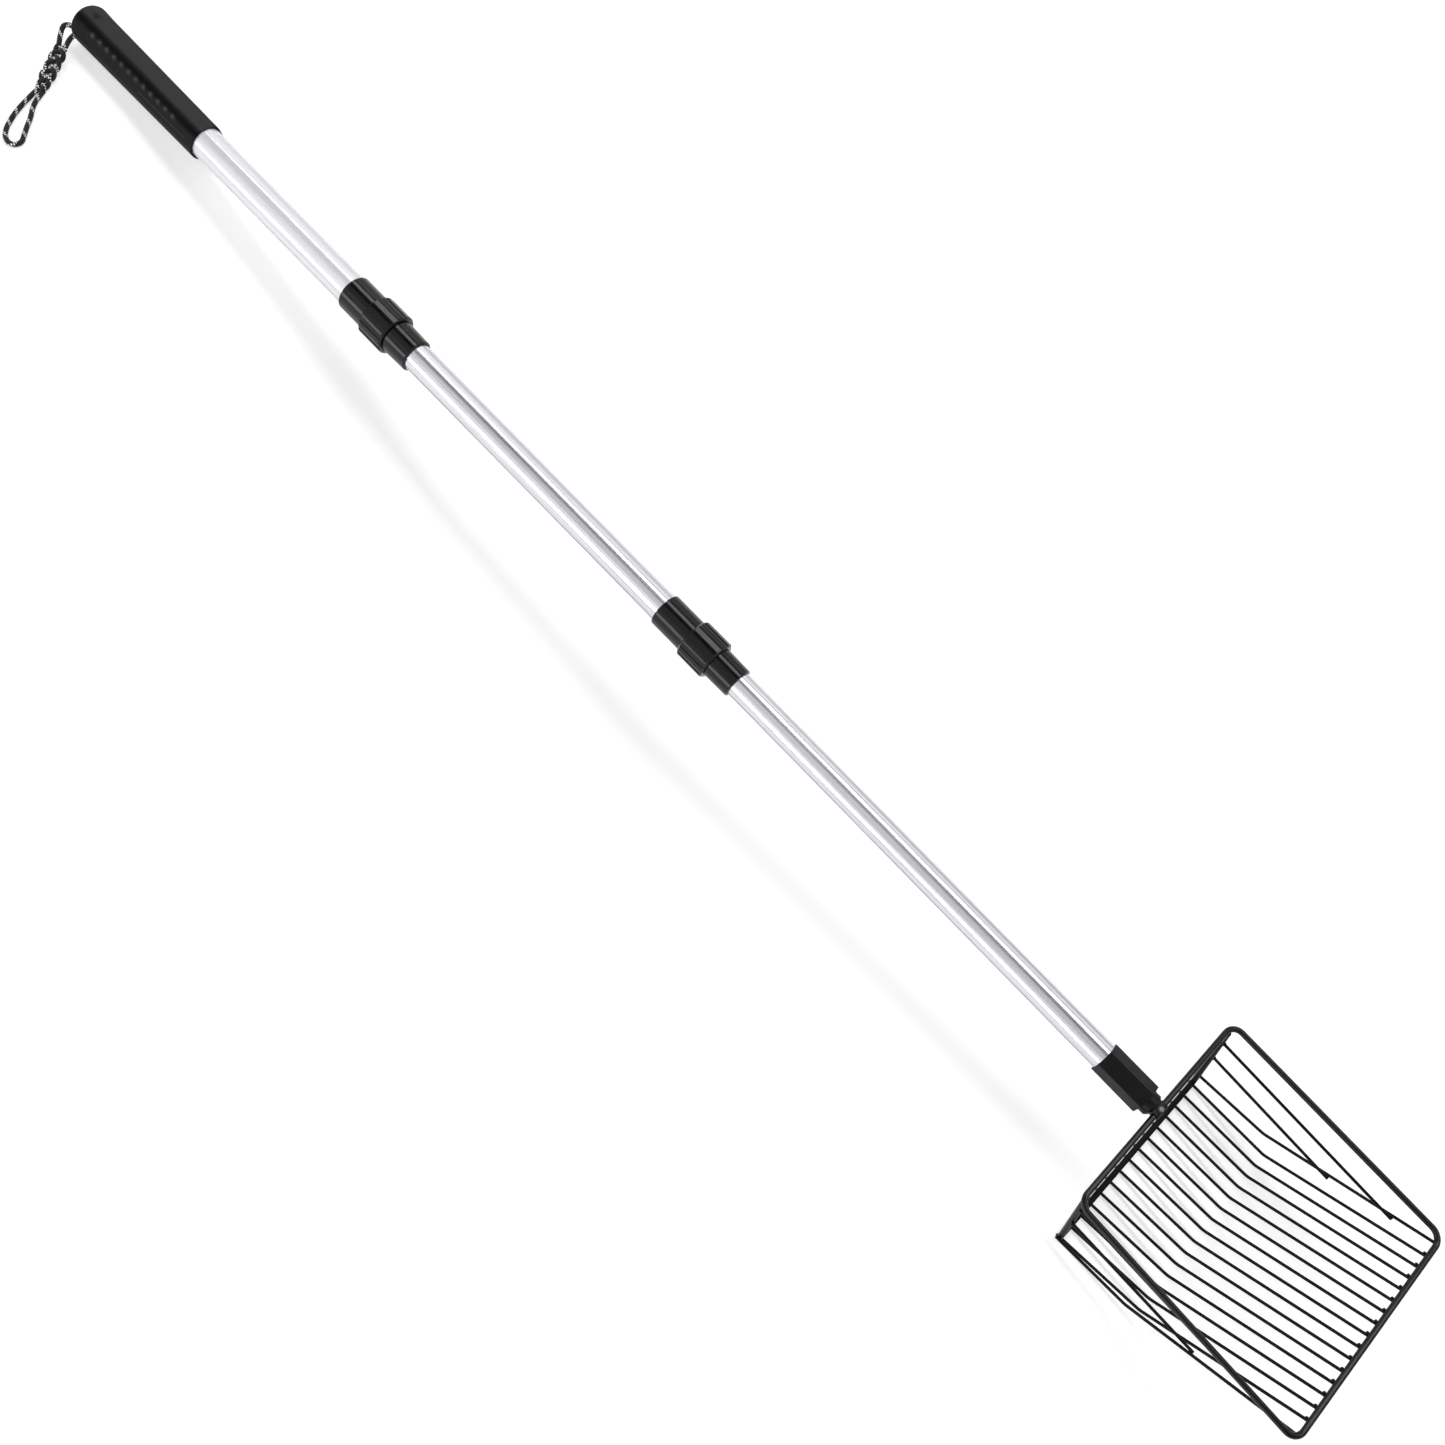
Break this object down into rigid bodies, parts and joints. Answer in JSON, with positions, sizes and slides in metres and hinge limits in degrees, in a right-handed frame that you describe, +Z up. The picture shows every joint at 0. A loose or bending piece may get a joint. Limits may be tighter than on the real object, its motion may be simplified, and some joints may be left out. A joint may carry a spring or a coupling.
{
  "type": "leaf skimmer",
  "caption": "Wire basket skimmer on a telescopic pole with twist locks, a moulded grip and a woven wrist lanyard.",
  "frame": {"origin": "middle of the footprint at floor level, the lanyard left out", "axes": "+Y from the grip to the basket, +Z up, +X to the side the lanyard lies on"},
  "size_m": [0.22, 1.4552, 0.1057],
  "materials": {
    "grip_black": "satin",
    "tube_metal": "bright drawn, fluted",
    "lock_black": "gloss",
    "fitting_black": "satin",
    "rivet_metal": "satin",
    "frame_wire": "satin coated wire",
    "grid_wire": "coated wire",
    "cord": "woven, black with white flecks"
  },
  "bodies": {
    "handle": {"grip": "grip_black", "outer_tube": "tube_metal", "outer_sleeve": "lock_black", "outer_collet": "lock_black", "lanyard_strand_end": "cord", "lanyard_strand_side": "cord", "lanyard_weave": "cord", "lanyard_loop": "cord"},
    "outer_lock_nut": {"outer_nut": "lock_black"},
    "middle_section": {"middle_tube": "tube_metal", "inner_sleeve": "lock_black", "inner_collet": "lock_black"},
    "inner_lock_nut": {"inner_nut": "lock_black"},
    "head_section": {"inner_tube": "tube_metal", "head_fitting": "fitting_black", "bar_saddle": "fitting_black", "saddle_rivet": "rivet_metal", "rim_frame": "frame_wire", "back_bar": "frame_wire", "floor_wire_01": "grid_wire", "floor_wire_02": "grid_wire", "floor_wire_03": "grid_wire", "floor_wire_04": "grid_wire", "floor_wire_05": "grid_wire", "floor_wire_06": "grid_wire", "floor_wire_07": "grid_wire", "floor_wire_08": "grid_wire", "floor_wire_09": "grid_wire", "floor_wire_10": "grid_wire", "floor_wire_11": "grid_wire", "floor_wire_12": "grid_wire", "floor_wire_13": "grid_wire", "floor_wire_14": "grid_wire", "floor_wire_15": "grid_wire", "corner_wire_left": "grid_wire", "corner_wire_right": "grid_wire", "side_wire_left_upper": "grid_wire", "side_wire_left_lower": "grid_wire", "side_wire_right_upper": "grid_wire", "side_wire_right_lower": "grid_wire"}
  },
  "joints": [
    {"name": "middle_slide", "type": "slide", "parent": "handle", "child": "middle_section", "axis": [0, -0.9981, -0.0619], "range_m": [0, 0.285]},
    {"name": "inner_slide", "type": "slide", "parent": "middle_section", "child": "head_section", "axis": [0, -0.9981, -0.0619], "range_m": [0, 0.375]},
    {"name": "outer_lock_turn", "type": "hinge", "parent": "handle", "child": "outer_lock_nut", "pos_m": [0, -0.32798, 0.04149], "axis": [0, 0.9981, 0.0619], "range_deg": [0, 90]},
    {"name": "inner_lock_turn", "type": "hinge", "parent": "middle_section", "child": "inner_lock_nut", "pos_m": [0, 0.04735, 0.06475], "axis": [0, 0.9981, 0.0619], "range_deg": [0, 90]}
  ]
}
